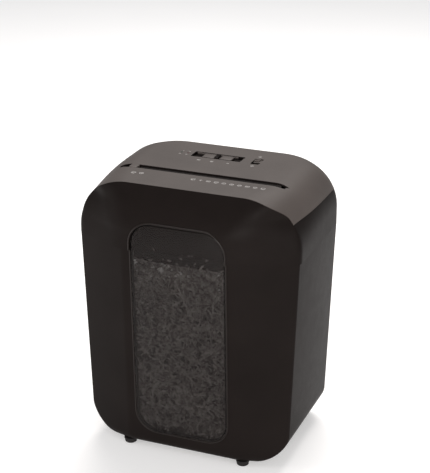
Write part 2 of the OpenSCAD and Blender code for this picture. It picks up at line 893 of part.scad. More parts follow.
module first_gear_axle() color(steel) {
    rod_x(axle_end, first_y, first_z, plate_left_x + plate_t - axle_end, axle_r);
}

// Outer plate that holds the far ends of the two axles.
module gear_cover_plate() color(steel) {
    difference() {
        union() {
            across(gear_cover_x, plate_t)
                hull() {
                    translate([second_y, second_z]) circle(12, $fn = 32);
                    translate([first_y, first_z]) circle(12, $fn = 32);
                    translate([second_y + 14, second_z - 32]) circle(6, $fn = 32);
                }
            rod_x(gear_cover_x, second_y + 14, second_z - 32, plate_left_x - gear_cover_x, 4);
        }
        rod_x(axle_end, second_y, second_z, plate_t, axle_r + 1 + bore_gap);
        rod_x(axle_end, first_y, first_z, plate_t, axle_r + bore_gap);
    }
}

// ---- motor ----

can_x = plate_left_x + plate_t;
cap_x = can_x + motor_l;
can_t = 1.6;
rotor_r = motor_r - 7;

module motor_can() color([0.62, 0.63, 0.65]) {
    difference() {
        rod_x(can_x, motor_y, motor_z, motor_l, motor_r);
        rod_x(can_x + 4, motor_y, motor_z, motor_l, motor_r - can_t);
        rod_x(can_x - 1, motor_y, motor_z, 10, motor_shaft_r + running_gap);
        for (side = [-1, 1])
            rod_x(can_x - 1, motor_y, motor_z + side * motor_screw_z, 4.8, motor_screw_r + bore_gap);
    }
}

module motor_end_cap() color(nylon) {
    difference() {
        union() {
            rod_x(cap_x, motor_y, motor_z, 3, motor_r);
            rod_x(cap_x - 4, motor_y, motor_z, 4, motor_r - can_t - bore_gap);
        }
        rod_x(cap_x - 6, motor_y, motor_z, 12, motor_shaft_r + running_gap);
    }
}

rotor_end = cap_x + 14;
module motor_rotor() color(cutter_steel) {
    rod_x(first_gear_x - gear_step / 2, motor_y, motor_z, rotor_end - first_gear_x + gear_step / 2,
        motor_shaft_r);
    rod_x(can_x + 10, motor_y, motor_z, motor_l - 20, rotor_r);
}

module motor_pinion() color([0.78, 0.62, 0.32]) {
    difference() {
        gear(first_gear_x, motor_y, motor_z, first_gear_w + 1, pinion_teeth, pinion_module,
            mesh_turn(0, pinion_dir, first_large_teeth, pinion_teeth));
        rod_x(first_gear_x - 1, motor_y, motor_z, first_gear_w + 3, motor_shaft_r + bore_gap);
    }
}

fan_blades = 9;
module motor_fan() color(charcoal) {
    fan_x = cap_x + 5;
    difference() {
        union() {
            rod_x(fan_x, motor_y, motor_z, 8, 6);
            rod_x(fan_x, motor_y, motor_z, 1.5, motor_r - 3);
            for (i = [0:fan_blades - 1])
                translate([fan_x + 1, motor_y, motor_z])
                    rotate([i * 360 / fan_blades + 7, 0, 0])
                        translate([0, -0.6, 5]) cube([6.4, 1.2, motor_r - 9.5]);
        }
        rod_x(fan_x - 1, motor_y, motor_z, 12, motor_shaft_r + bore_gap);
    }
}

// ---- electrics ----

module control_board() color([0.10, 0.32, 0.16]) {
    difference() {
        translate([board_x[0], board_y[0], board_z])
            cube([board_x[1] - board_x[0], board_y[1] - board_y[0], board_t]);
        for (x = board_x)
            for (y = board_y)
                translate([x - 5 * sign(x), y - 5 * sign(y - selector_y), board_z - 1])
                    cylinder(h = 4, r = 1.7);
    }
}

switch_top = top_z - well_depth - well_floor_t - 2.6;
module selector_switch() color([0.16, 0.16, 0.18]) {
    translate([selector_x - 26, selector_y - 8, board_z + board_t])
        cube([52, 16, switch_top - board_z - board_t]);
}

module lock_switch() color([0.16, 0.16, 0.18]) {
    translate([lock_x - 6, lock_y - 10, board_z + board_t])
        cube([12, 20, switch_top - board_z - board_t]);
}

lever_r = 3.4;
// Two ears and a body that hold the paper sensor's pin.
module sensor_switch() color([0.16, 0.16, 0.18]) {
    ear_gap = sensor_w + 1.2;
    difference() {
        union() {
            for (side = [-1, 1])
                translate([throat_x + side * (ear_gap / 2 + 1.5) - 1.5, sensor_y - 4, sensor_z - 4])
                    cube([3, 14, 8]);
            translate([throat_x - ear_gap / 2 - 3, sensor_y + 6, sensor_z - 10]) cube([ear_gap + 6, 10, 16]);
        }
        rod_x(throat_x - 12, sensor_y, sensor_z, 24, pin_r + bore_gap);
    }
}

module sensor_pin() color(steel) {
    rod_x(throat_x - sensor_w / 2 - 3.4, sensor_y, sensor_z, sensor_w + 6.8, pin_r);
}

module interlock_switch() color([0.16, 0.16, 0.18]) {
    translate([-8, plunger_y - 5, floor_z + floor_t + 6 + plunger_travel + free_gap]) cube([16, 10, 14]);
}

module lamp(x, tint) color(tint) {
    translate([x, lamp_y, board_z + board_t]) cylinder(h = top_z - board_z - board_t + 0.2, r = lamp_r);
}
module power_lamp() { lamp(lamp_x[0], [0.55, 0.75, 0.55]); }
module overheat_lamp() { lamp(lamp_x[1], [0.80, 0.45, 0.40]); }

module cord_gland() color([0.12, 0.12, 0.12]) {
    translate([gland_x, head_back_y - gland_l, gland_z])
        rotate([-90, 0, 0])
            difference() {
                union() {
                    cylinder(h = gland_l, r = gland_r);
                    translate([0, 0, gland_l - shell_t - 5]) cylinder(h = 3, r = gland_r + 3);
                }
                translate([0, 0, -1]) cylinder(h = gland_l + 2, r = gland_bore_r);
            }
}

// ---- fasteners ----

module screw_up(x, y, z, length, r) {
    translate([x, y, z]) cylinder(h = length, r = r);
    translate([x, y, z - 2]) cylinder(h = 2, r = 2 * r);
}

module housing_screws() color(steel) {
    for (side = [-1, 1])
        for (y = post_y)
            screw_up(side * post_x, y, floor_z, 11, screw_r);
}

module frame_screws() color(steel) {
    for (x = frame_screw_x)
        for (y = frame_screw_y)
            screw_up(x, y, floor_z, 8, frame_screw_r);
}

module motor_screws() color(steel) {
    for (side = [-1, 1]) {
        rod_x(plate_left_x - 2.5, motor_y, motor_z + side * motor_screw_z, 8, motor_screw_r);
        rod_x(plate_left_x - 2.5, motor_y, motor_z + side * motor_screw_z, 2.5, 2 * motor_screw_r);
    }
}

module board_screws() color(steel) {
    for (x = board_x)
        for (y = board_y)
            screw_up(x - 5 * sign(x), y - 5 * sign(y - selector_y), board_z, 9, 1.15);
}

// ---- moving controls ----

module selector_slider() color([0.20, 0.19, 0.19]) {
    low = top_z - well_depth + 0.3;
    translate([selector_x, selector_y, low]) rounded_box(selector_plate, 2, top_z - 0.6 - low);
    translate([selector_x, selector_y, low]) rounded_box([5, selector_plate[1]], 1, top_z + thumb_h - low);
    translate([selector_x, selector_y, switch_top + 0.3])
        linear_extrude(low - switch_top) square([6, 4], center = true);
}

module lock_slider() color([0.20, 0.19, 0.19]) {
    low = top_z - well_depth + 0.3;
    rest_y = lock_y + lock_travel / 2;
    translate([lock_x, rest_y, low]) rounded_box(lock_knob, 1.5, top_z - 0.6 - low);
    translate([lock_x, rest_y, low]) rounded_box([lock_knob[0], 4], 1, top_z + thumb_h - low);
    translate([lock_x, rest_y, switch_top + 0.3])
        linear_extrude(low - switch_top) square([4, 5], center = true);
}

// Arm that crosses the paper entry and swings down when paper is fed.
module sensor_lever() color([0.85, 0.85, 0.82]) {
    reach = sensor_y - throat_y + throat_gap / 2 + 3;
    difference() {
        union() {
            rod_x(throat_x - sensor_w / 2, sensor_y, sensor_z, sensor_w, lever_r);
            translate([throat_x - sensor_w / 2, sensor_y - reach, sensor_z - 1.2])
                cube([sensor_w, reach, 2.4]);
        }
        rod_x(throat_x - sensor_w, sensor_y, sensor_z, 2 * sensor_w, pin_r + running_gap);
    }
}

module interlock_plunger() color([0.80, 0.25, 0.20]) {
    translate([0, plunger_y, plunger_tip_z]) {
        cylinder(h = floor_z + floor_t + 6 - plunger_tip_z, r = plunger_r);
        translate([0, 0, floor_z + floor_t + 0.3 - plunger_tip_z]) cylinder(h = 3, r = plunger_r + 2.5);
    }
}

bin_tub();
bin_window();
foot_front_left();
foot_front_right();
foot_rear_left();
foot_rear_right();
top_cover();
front_shell();
rear_shell();
lower_housing();
throat_guide_front();
throat_guide_rear();
side_plate_left();
side_plate_right();
tie_rods();
cutter_bushes();
stripper_comb_front();
stripper_comb_rear();
gear_cover_plate();
second_gear_axle();
first_gear_axle();
motor_can();
motor_end_cap();
control_board();
selector_switch();
lock_switch();
sensor_switch();
sensor_pin();
interlock_switch();
power_lamp();
overheat_lamp();
cord_gland();
housing_screws();
frame_screws();
motor_screws();
board_screws();
cutter_front();
cutter_front_gear();
cutter_rear();
cutter_rear_gear();
drive_gear();
second_gear();
first_gear();
motor_rotor();
motor_pinion();
motor_fan();
selector_slider();
lock_slider();
sensor_lever();
interlock_plunger();
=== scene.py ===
"""Looks of the paper shredder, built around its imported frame.

Lengths are in mm, and the mesh helpers scale them to metres.
"""
import json
import math
import random

import bmesh
import bpy
from mathutils import Euler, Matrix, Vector


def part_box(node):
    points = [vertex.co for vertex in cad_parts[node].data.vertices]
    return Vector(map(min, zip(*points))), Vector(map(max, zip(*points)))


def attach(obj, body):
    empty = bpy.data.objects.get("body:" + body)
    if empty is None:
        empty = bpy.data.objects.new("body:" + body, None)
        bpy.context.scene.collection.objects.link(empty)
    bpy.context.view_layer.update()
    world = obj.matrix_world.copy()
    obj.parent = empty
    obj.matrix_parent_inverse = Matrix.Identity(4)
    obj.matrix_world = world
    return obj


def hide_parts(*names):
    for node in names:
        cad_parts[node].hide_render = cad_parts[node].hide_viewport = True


MM = 0.001
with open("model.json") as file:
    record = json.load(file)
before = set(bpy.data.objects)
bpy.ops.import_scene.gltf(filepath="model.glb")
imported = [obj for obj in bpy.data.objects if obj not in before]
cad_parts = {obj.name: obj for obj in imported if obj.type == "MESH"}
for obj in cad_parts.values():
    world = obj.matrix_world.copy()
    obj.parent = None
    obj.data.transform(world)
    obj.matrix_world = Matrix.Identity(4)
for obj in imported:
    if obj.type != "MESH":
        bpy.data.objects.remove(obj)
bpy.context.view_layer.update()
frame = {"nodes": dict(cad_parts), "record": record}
scene = bpy.context.scene
nodes = frame["nodes"]

# ---- sizes shared with the CAD part ----

SEAT, TOP, HEAD_H = 346.0, 442.0, 96.0
RIM, FOOT_H = 345.7, 8.0
HEAD_HALF_W, HEAD_FRONT, HEAD_BACK = 179.5, -126.0, 126.0
FRONT_FLAT, REAR_FLAT = 91.9, 119.9
FRONT_SPRING, REAR_SPRING = 13.0, 30.0
FACE_SPRING, FACE_POWER = 34.0, 1.6
CREASE_Y, CREASE_STRAIGHT, CREASE_BEND = -94.0, 125.0, 47.0
PANEL_HALF = 90.5
SPLIT_H = 58.0
BIN_HALF_W, BIN_FRONT, BIN_BACK, LEAN = 178.0, -120.5, 124.5, 0.036
FRONT_FACET, REAR_FACET = 38.0, 24.0
WALL = 2.5
CORNER_R = 58.0
WIN_HALF, WIN_LOW, WIN_HIGH, WIN_R = 75.5, 37.0, 390.7, 34.0
ARCH_HALF, ARCH_H, ARCH_R = 76.5, 46.0, 35.0
THROAT_X, THROAT_Y, THROAT_HALF = 11.0, -21.0, 115.0
SELECTOR, SELECTOR_WELL = (-9.0, 66.0), (84.0, 24.0)
LOCK, LOCK_WELL = (56.0, 66.0), (14.0, 26.0)
WELL_DEPTH = 4.4
LAMPS = ((-71.0, 66.3), (-60.0, 66.3))

# ---- sizes of the looks alone ----

JOINT_GAP = 0.45
SHELL_WALL, COVER_WALL, PANE_WALL = 1.8, 2.0, 2.0
CORNER_LIFT, CORNER_SET_BACK, CORNER_SOFTNESS = 70.0, 43.0, 9.0
TURN_START, TURN_SPREAD, TURN_POWER = 26.0, 37.0, 1.2
SOFT_W = 24.0
SOFT_CUT, SHARP_CUT, CUT_START = 8.0, 0.5, 36.0
FRONT_STEPS, CORNER_STEPS, SIDE_STEPS, HEIGHT_STEPS = 40, 5, 8, 46
GROOVE_HALF, GROOVE_TOP, GROOVE_FLOOR, GROOVE_DEPTH = 150.0, 7.9, 4.2, 5.0
TURN_UNDER, CORNER_BULGE = 14.0, 1.06
BEAD_OUT, BEAD_R = 1.7, 1.3
LIP_OUT, LIP_R = 0.9, 1.25
MARK_LOW, MARK_HIGH = TOP - 0.02, TOP + 0.06
HEAP_SHREDS, WINDOW_SHREDS = 3000, 1900
FLOOR_HALF = 9000


# ---- camera, lights and floor ----

CAM_TARGET = Vector((0.0113, 0.002, 0.3341))
CAM_AZIMUTH, CAM_ELEVATION = math.radians(21.84), math.radians(22.02)
CAM_DISTANCE = 2.179


def aim(obj, place, target):
    obj.location = place
    obj.rotation_euler = (Vector(target) - Vector(place)).to_track_quat("-Z", "Y").to_euler()


def build_camera():
    data = bpy.data.cameras.new("camera")
    data.lens = 106.88
    data.sensor_width = 36
    camera = bpy.data.objects.new("camera", data)
    scene.collection.objects.link(camera)
    away = Vector((math.sin(CAM_AZIMUTH) * math.cos(CAM_ELEVATION),
                   -math.cos(CAM_AZIMUTH) * math.cos(CAM_ELEVATION),
                   math.sin(CAM_ELEVATION)))
    aim(camera, CAM_TARGET + CAM_DISTANCE * away, CAM_TARGET)
    scene.camera = camera


def area_light(name, place, target, size, power, colour=(1, 1, 1)):
    data = bpy.data.lights.new(name, "AREA")
    data.shape = "RECTANGLE"
    data.size, data.size_y = size
    data.energy = power
    data.color = colour
    light = bpy.data.objects.new(name, data)
    scene.collection.objects.link(light)
    aim(light, place, target)


def build_lights():
    world = bpy.data.worlds.new("studio")
    scene.world = world
    world.use_nodes = True
    background = world.node_tree.nodes["Background"]
    background.inputs["Color"].default_value = (0.97, 0.98, 1.0, 1)
    background.inputs["Strength"].default_value = 0.36
    centre = (0, 0, 0.25)
    warm = (1.0, 0.955, 0.925)
    area_light("top_softbox", (-0.2, 1.3, 2.6), centre, (2.0, 1.6), 78, warm)
    area_light("right_softbox", (2.3, -1.2, 0.7), centre, (0.8, 1.2), 13, warm)
    area_light("left_softbox", (-2.2, -1.2, 0.8), centre, (0.8, 1.5), 12, warm)
    area_light("front_softbox", (0.7, -2.2, 0.68), (0, 0, 0.36), (1.5, 0.35), 36, warm)
    scene.view_settings.view_transform = "Standard"


# ---- materials ----

def principled(name):
    material = bpy.data.materials.new(name)
    material.use_nodes = True
    tree = material.node_tree
    shader = tree.nodes["Principled BSDF"]
    return material, tree, shader


def noise(tree, scale, detail=3.0, roughness=0.55, stretch=None):
    coords = tree.nodes.new("ShaderNodeTexCoord")
    node = tree.nodes.new("ShaderNodeTexNoise")
    node.inputs["Scale"].default_value = scale
    node.inputs["Detail"].default_value = detail
    node.inputs["Roughness"].default_value = roughness
    source = coords.outputs["Object"]
    if stretch:
        mapping = tree.nodes.new("ShaderNodeMapping")
        mapping.inputs["Scale"].default_value = stretch
        tree.links.new(source, mapping.inputs["Vector"])
        source = mapping.outputs["Vector"]
    tree.links.new(source, node.inputs["Vector"])
    return node


def ramp(tree, source, stops):
    node = tree.nodes.new("ShaderNodeValToRGB")
    elements = node.color_ramp.elements
    while len(elements) < len(stops):
        elements.new(0.5)
    for element, (place, colour) in zip(elements, stops):
        element.position = place
        element.color = (*colour, 1) if len(colour) == 3 else colour
    tree.links.new(source, node.inputs["Fac"])
    return node.outputs["Color"]


def grey(value):
    return (value, value, value)


def two_tone(tree, source, dark, light):
    return ramp(tree, source, [(0.3, dark), (0.7, light)])


def bumped(tree, shader, source, strength, distance):
    bump = tree.nodes.new("ShaderNodeBump")
    bump.inputs["Strength"].default_value = strength
    bump.inputs["Distance"].default_value = distance
    tree.links.new(source, bump.inputs["Height"])
    tree.links.new(bump.outputs["Normal"], shader.inputs["Normal"])


def plastic(name, colour, rough, level=0.3, grain=1500, depth=0.12, tone=0.12, stretch=None):
    """Moulded plastic: fine spark-eroded grain, slow changes of tone and gloss."""
    material, tree, shader = principled(name)
    slow = noise(tree, 9, 2, stretch=stretch)
    dark, light = [tuple(c * k for c in colour) for k in (1 - tone, 1 + tone)]
    tree.links.new(two_tone(tree, slow.outputs["Fac"], dark, light), shader.inputs["Base Color"])
    patch = noise(tree, 60, 4)
    spread = two_tone(tree, patch.outputs["Fac"], grey(rough - 0.02), grey(rough + 0.02))
    tree.links.new(spread, shader.inputs["Roughness"])
    shader.inputs["Specular IOR Level"].default_value = level
    fine = noise(tree, grain, 2, 0.6)
    bumped(tree, shader, fine.outputs["Fac"], depth, 0.0003)
    return material


def metal(name, colour, rough, brushed=(1, 1, 1), tone=0.15):
    material, tree, shader = principled(name)
    slow = noise(tree, 40, 4, stretch=brushed)
    dark, light = [tuple(c * k for c in colour) for k in (1 - tone, 1)]
    tree.links.new(two_tone(tree, slow.outputs["Fac"], dark, light), shader.inputs["Base Color"])
    fine = noise(tree, 260, 5, stretch=brushed)
    spread = ramp(tree, fine.outputs["Fac"], [(0.25, grey(rough - 0.08)), (0.75, grey(rough + 0.08))])
    tree.links.new(spread, shader.inputs["Roughness"])
    shader.inputs["Metallic"].default_value = 1
    bumped(tree, shader, fine.outputs["Fac"], 0.05, 0.0002)
    return material


def smoked():
    """Tinted see-through plastic, polished, with faint moulding waves."""
    material, tree, shader = principled("smoked_window")
    slow = noise(tree, 14, 3)
    colour = two_tone(tree, slow.outputs["Fac"], (0.010, 0.0080, 0.0075), (0.016, 0.013, 0.012))
    tree.links.new(colour, shader.inputs["Base Color"])
    shader.inputs["Roughness"].default_value = 0.16
    shader.inputs["Specular IOR Level"].default_value = 0.14
    shader.inputs["Alpha"].default_value = 0.56
    waves = noise(tree, 55, 2)
    bumped(tree, shader, waves.outputs["Fac"], 0.10, 0.0006)
    return material


def paper(name, scale, detail, roughness, stops, level, painted_glow=0.0):
    """Shredded paper: random patches of painted shade for the gaps between shreds, and an emission of
    painted light that brightens it.
    """
    material, tree, shader = principled(name)
    patches = noise(tree, scale, detail, roughness)
    colour = ramp(tree, patches.outputs["Fac"], stops)
    tree.links.new(colour, shader.inputs["Base Color"])
    shader.inputs["Roughness"].default_value = 0.85
    shader.inputs["Specular IOR Level"].default_value = level
    if painted_glow:
        tree.links.new(colour, shader.inputs["Emission Color"])
        shader.inputs["Emission Strength"].default_value = painted_glow
    fibre = noise(tree, 900, 4)
    bumped(tree, shader, fibre.outputs["Fac"], 0.2, 0.0002)
    return material


def board():
    material, tree, shader = principled("circuit_board")
    coords = tree.nodes.new("ShaderNodeTexCoord")
    bricks = tree.nodes.new("ShaderNodeTexBrick")
    bricks.inputs["Scale"].default_value = 130
    bricks.inputs["Mortar Size"].default_value = 0.012
    bricks.inputs["Color1"].default_value = (0.02, 0.13, 0.05, 1)
    bricks.inputs["Color2"].default_value = (0.03, 0.17, 0.06, 1)
    bricks.inputs["Mortar"].default_value = (0.10, 0.30, 0.12, 1)
    tree.links.new(coords.outputs["Object"], bricks.inputs["Vector"])
    tree.links.new(bricks.outputs["Color"], shader.inputs["Base Color"])
    shader.inputs["Roughness"].default_value = 0.35
    return material


def floor_finish():
    material, tree, shader = principled("studio_floor")
    slow = noise(tree, 1.5, 3)
    tree.links.new(two_tone(tree, slow.outputs["Fac"], grey(0.83), grey(0.86)), shader.inputs["Base Color"])
    shader.inputs["Roughness"].default_value = 0.9
    shader.inputs["Emission Color"].default_value = (1, 1, 1, 1)
    shader.inputs["Emission Strength"].default_value = 0.32
    return material


finish = {
    "black_plastic": plastic("black_plastic", (0.0098, 0.0076, 0.0070), 0.42, 0.03),
    "charcoal_plastic": plastic("charcoal_plastic", (0.070, 0.059, 0.054), 0.50, 0.18, 1300, 0.2),
    "foot_rubber": plastic("foot_rubber", (0.012, 0.011, 0.011), 0.75, 0.2, 700, 0.3),
    "inner_plastic": plastic("inner_plastic", (0.0165, 0.0134, 0.0126), 0.50, 0.10, 900, 0.2),
    "zinc_steel": metal("zinc_steel", (0.56, 0.57, 0.56), 0.36, (1, 14, 1)),
    "screw_steel": metal("screw_steel", (0.42, 0.42, 0.43), 0.30),
    "bronze": metal("bronze", (0.48, 0.34, 0.16), 0.42),
    "nylon": plastic("nylon", (0.66, 0.64, 0.56), 0.42, 0.4, 800, 0.1, 0.06),
    "circuit_board": board(),
    "switch_plastic": plastic("switch_plastic", (0.014, 0.014, 0.016), 0.4, 0.35),
    "lamp_green": plastic("lamp_green", (0.020, 0.045, 0.024), 0.2, 0.5, 400, 0.02, 0.05),
    "lamp_red": plastic("lamp_red", (0.060, 0.014, 0.012), 0.2, 0.5, 400, 0.02, 0.05),
    "cutter_steel": metal("cutter_steel", (0.30, 0.30, 0.31), 0.34, (14, 1, 1)),
    "gear_steel": metal("gear_steel", (0.36, 0.36, 0.36), 0.45),
    "pinion_brass": metal("pinion_brass", (0.60, 0.44, 0.20), 0.30),
    "control_plastic": plastic("control_plastic", (0.050, 0.046, 0.044), 0.40, 0.35, 1500, 0.1),
    "plunger_plastic": plastic("plunger_plastic", (0.42, 0.05, 0.03), 0.35, 0.45, 900, 0.05),
    "smoked_window": smoked(),
}
# colour ramps of the paper: the dark stops are painted shade in the gaps between shreds, the light stops
# are the white paper
heap_shade_stops = [(0.30, (0.16, 0.15, 0.15)), (0.42, (0.42, 0.41, 0.40)),
              (0.52, (0.84, 0.82, 0.80)), (0.70, (0.94, 0.92, 0.90))]
window_shade_stops = [(0.30, (0.12, 0.108, 0.102)), (0.45, (0.36, 0.33, 0.315)),
                (0.56, (0.68, 0.63, 0.60)), (0.70, (0.96, 0.91, 0.87))]
# the heap's paper is given an emission: painted light that lifts it out of the head's shadow
paper_finish = paper("shredded_paper", 95, 4, 0.65, heap_shade_stops, 0.2, painted_glow=0.30)
window_paper = paper("paper_in_window", 120, 5, 0.7, window_shade_stops, 0.15)
# glossy black for the arch lip and the window bead: the gloss is real, but its colour, a little lighter
# than the black plastic, is a painted highlight along these edges
lip_highlight_finish = plastic("polished_lip_highlight", (0.014, 0.011, 0.010), 0.36, 0.14)
print_finish = plastic("pad_print", (0.40, 0.39, 0.38), 0.5, 0.3, 2500, 0.05, 0.06)
# packed paper in dark grey: painted shade, so the gaps behind the loose shreds look dark
packed_shade_finish = plastic("packed_paper_shade", (0.16, 0.15, 0.145), 0.9, 0.1, 300, 0.4, 0.5)
shadow_finish = plastic("shadow_plastic", (0.004, 0.004, 0.004), 0.7, 0.1, 900, 0.1)


# ---- mesh helpers ----

def loose_object(name, verts, faces, material, smooth_angle=35.0):
    """Mesh object that rides no body yet: a cutter, or a piece with modifiers still to come."""
    mesh = bpy.data.meshes.new(name)
    mesh.from_pydata([(v[0] * MM, v[1] * MM, v[2] * MM) for v in verts], [], faces)
    work = bmesh.new()
    work.from_mesh(mesh)
    bmesh.ops.remove_doubles(work, verts=work.verts, dist=0.00002)
    bmesh.ops.recalc_face_normals(work, faces=work.faces)
    work.to_mesh(mesh)
    work.free()
    obj = bpy.data.objects.new(name, mesh)
    obj.data.materials.append(material)
    scene.collection.objects.link(obj)
    shade(obj, smooth_angle)
    return obj


def mesh_object(name, verts, faces, body, slot, material):
    obj = loose_object(name, verts, faces, material)
    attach(obj, body)
    return obj


def shade(obj, smooth_angle):
    for polygon in obj.data.polygons:
        polygon.use_smooth = True
    obj.data.set_sharp_from_angle(angle=math.radians(smooth_angle))


def apply_modifiers(obj, smooth_angle=35.0):
    """Bakes the modifiers of obj into its mesh and marks its sharp edges again."""
    bpy.context.view_layer.update()
    graph = bpy.context.evaluated_depsgraph_get()
    mesh = bpy.data.meshes.new_from_object(obj.evaluated_get(graph))
    obj.modifiers.clear()
    obj.data = mesh
    shade(obj, smooth_angle)


def solidify(obj, thickness):
    modifier = obj.modifiers.new("wall", "SOLIDIFY")
    modifier.thickness = thickness * MM
    modifier.offset = -1
    modifier.use_even_offset = True


def boolean(obj, other, operation="DIFFERENCE"):
    """Cuts other out of obj, or joins it on, and removes other."""
    modifier = obj.modifiers.new("cut", "BOOLEAN")
    modifier.object = other
    modifier.operation = operation
    modifier.solver = "EXACT"
    apply_modifiers(obj)
    bpy.data.objects.remove(other)


def bevel(obj, width, segments=2, angle=40):
    modifier = obj.modifiers.new("edge", "BEVEL")
    modifier.width = width * MM
    modifier.segments = segments
    modifier.limit_method = "ANGLE"
    modifier.angle_limit = math.radians(angle)
    modifier.harden_normals = True
    modifier.use_clamp_overlap = True


def loft(loops, closed=True, cap_first=False, cap_last=False):
    count = len(loops[0])
    verts = [tuple(v) for loop in loops for v in loop]
    faces = []
    for j in range(len(loops) - 1):
        for i in range(count if closed else count - 1):
            a, b = j * count + i, j * count + (i + 1) % count
            faces.append((a, b, b + count, a + count))
    if cap_first:
        faces.append(tuple(range(count))[::-1])
    if cap_last:
        faces.append(tuple(range((len(loops) - 1) * count, len(loops) * count)))
    return verts, faces


def joined(parts):
    verts, faces = [], []
    for more_verts, more_faces in parts:
        base = len(verts)
        verts += more_verts
        faces += [tuple(i + base for i in face) for face in more_faces]
    return verts, faces


def bezier(start, bend, end, steps):
    points = []
    for k in range(steps + 1):
        t = k / steps
        points.append(start * (1 - t) ** 2 + bend * 2 * t * (1 - t) + end * t * t)
    return points


def curve_corner(a, b, c, cut, steps):
    """Points that round the corner b between a and c, starting cut mm before it."""
    a, b, c = Vector(a), Vector(b), Vector(c)
    start = b + (a - b).normalized() * min(cut, (a - b).length * 0.48)
    end = b + (c - b).normalized() * min(cut, (c - b).length * 0.48)
    return bezier(start, b, end, steps)


def mirrored_plan(half, cuts, steps):
    """Closed plan made from the corners of its right half, each one rounded by its cut."""
    path = [(0, half[0][1])] + half + [(0, half[-1][1])]
    points = []
    for i, cut in enumerate(cuts, 1):
        points += curve_corner(path[i - 1], path[i], path[i + 1], cut, steps)
    return points + [Vector((-p.x, p.y)) for p in points][::-1]


def rounded_rect(width, depth, radius, steps=5):
    x, y = width / 2, depth / 2
    corners = [(-x, -y), (x, -y), (x, y), (-x, y)]
    points = []
    for i in range(4):
        points += curve_corner(corners[i - 1], corners[i], corners[(i + 1) % 4], radius, steps)
    return points


def slab(x, y, width, depth, radius, low, high, edge=0.0, steps=5):
    """Rounded block with its upper edge eased by edge."""
    levels = [(low, 0), (high - edge, 0)]
    if edge:
        levels += [(high - edge * 0.3, edge * 0.3), (high, edge)]
    loops = []
    for z, inset in levels:
        plan = rounded_rect(width - 2 * inset, depth - 2 * inset, max(radius - inset, 0.2), steps)
        loops.append([(x + p.x, y + p.y, z) for p in plan])
    return loft(loops, cap_first=True, cap_last=True)


def circles(x, y, profile, steps):
    """Rings about a vertical axis, one for each (radius, z) of the profile."""
    angles = [2 * math.pi * k / steps for k in range(steps)]
    return [[(x + r * math.cos(a), y + r * math.sin(a), z) for a in angles] for r, z in profile]


def lathe(x, y, profile, steps=40):
    """Turned form about a vertical axis; profile is a list of (radius, z)."""
    return loft(circles(x, y, profile, steps), cap_first=True, cap_last=True)


def tube(path, radius, steps=8, closed=False):
    """Round bead along a path of points."""
    loops = []
    count = len(path)
    for i, point in enumerate(path):
        before = Vector(path[i - 1] if closed or i else path[i])
        after = Vector(path[(i + 1) % count] if closed or i < count - 1 else path[i])
        forward = (after - before).normalized()
        side = forward.cross(Vector((0, 1, 0)))
        side = side.normalized() if side.length > 0.05 else Vector((1, 0, 0))
        up = side.cross(forward)
        loops.append([Vector(point) + radius * (math.cos(2 * math.pi * k / steps) * side
                                                + math.sin(2 * math.pi * k / steps) * up)
                      for k in range(steps)])
    if closed:
        loops.append(loops[0])
    return loft(loops, cap_first=not closed, cap_last=not closed)


# ---- form of the head ----

def side_profile(h, flat, spring):
    rise = max(0.0, h - spring) / (HEAD_H - spring)
    return flat + (HEAD_HALF_W - flat) * math.sqrt(max(0.0, 1 - rise * rise))


def face_y(h):
    rise = max(0.0, h - FACE_SPRING) / (HEAD_H - FACE_SPRING)
    return HEAD_FRONT + (CREASE_Y - HEAD_FRONT) * rise ** FACE_POWER


def crease_at(x):
    return CREASE_Y + max(0.0, x - CREASE_STRAIGHT) ** 2 / CREASE_BEND


def corner_on_crease(h):
    return crease_at(side_profile(h, FRONT_FLAT, FRONT_SPRING))


def corner_line(h):
    """Depth of the front corner as in the CAD: on the crease, and curving forward below CORNER_LIFT."""
    if h >= CORNER_LIFT:
        return corner_on_crease(min(h, HEAD_H))
    low = HEAD_FRONT + CORNER_SET_BACK
    return low + (corner_on_crease(CORNER_LIFT) - low) * (max(h, 0) / CORNER_LIFT) ** 2


def corner_y(h):
    """Depth of the front corner at height h, the CAD's line with its bends eased."""
    reach = min(CORNER_SOFTNESS, (HEAD_H - h) / 2)
    weights = [(k / 6 * reach, 1 - abs(k) / 7) for k in range(-6, 7)]
    return sum(w * corner_line(h + shift) for shift, w in weights) / sum(w for _, w in weights)


def soft_step(t):
    """t, with its start from zero eased over twice SOFT_W."""
    if t < -SOFT_W:
        return 0.0
    return (t + SOFT_W) ** 2 / (4 * SOFT_W) if t < SOFT_W else t


def front_y(x, h):
    """Front surface of the head at x and height h: face in the middle, blending into the corner facets."""
    half = side_profile(h, FRONT_FLAT, FRONT_SPRING)
    rise = max(0.0, h - TURN_START) / (HEAD_H - TURN_START)
    turn = min(PANEL_HALF - 2 + TURN_SPREAD * rise ** TURN_POWER, half)
    face = min(face_y(h), corner_y(h))
    share = soft_step(abs(x) - turn) / soft_step(half - turn)
    return face + (corner_y(h) - face) * share


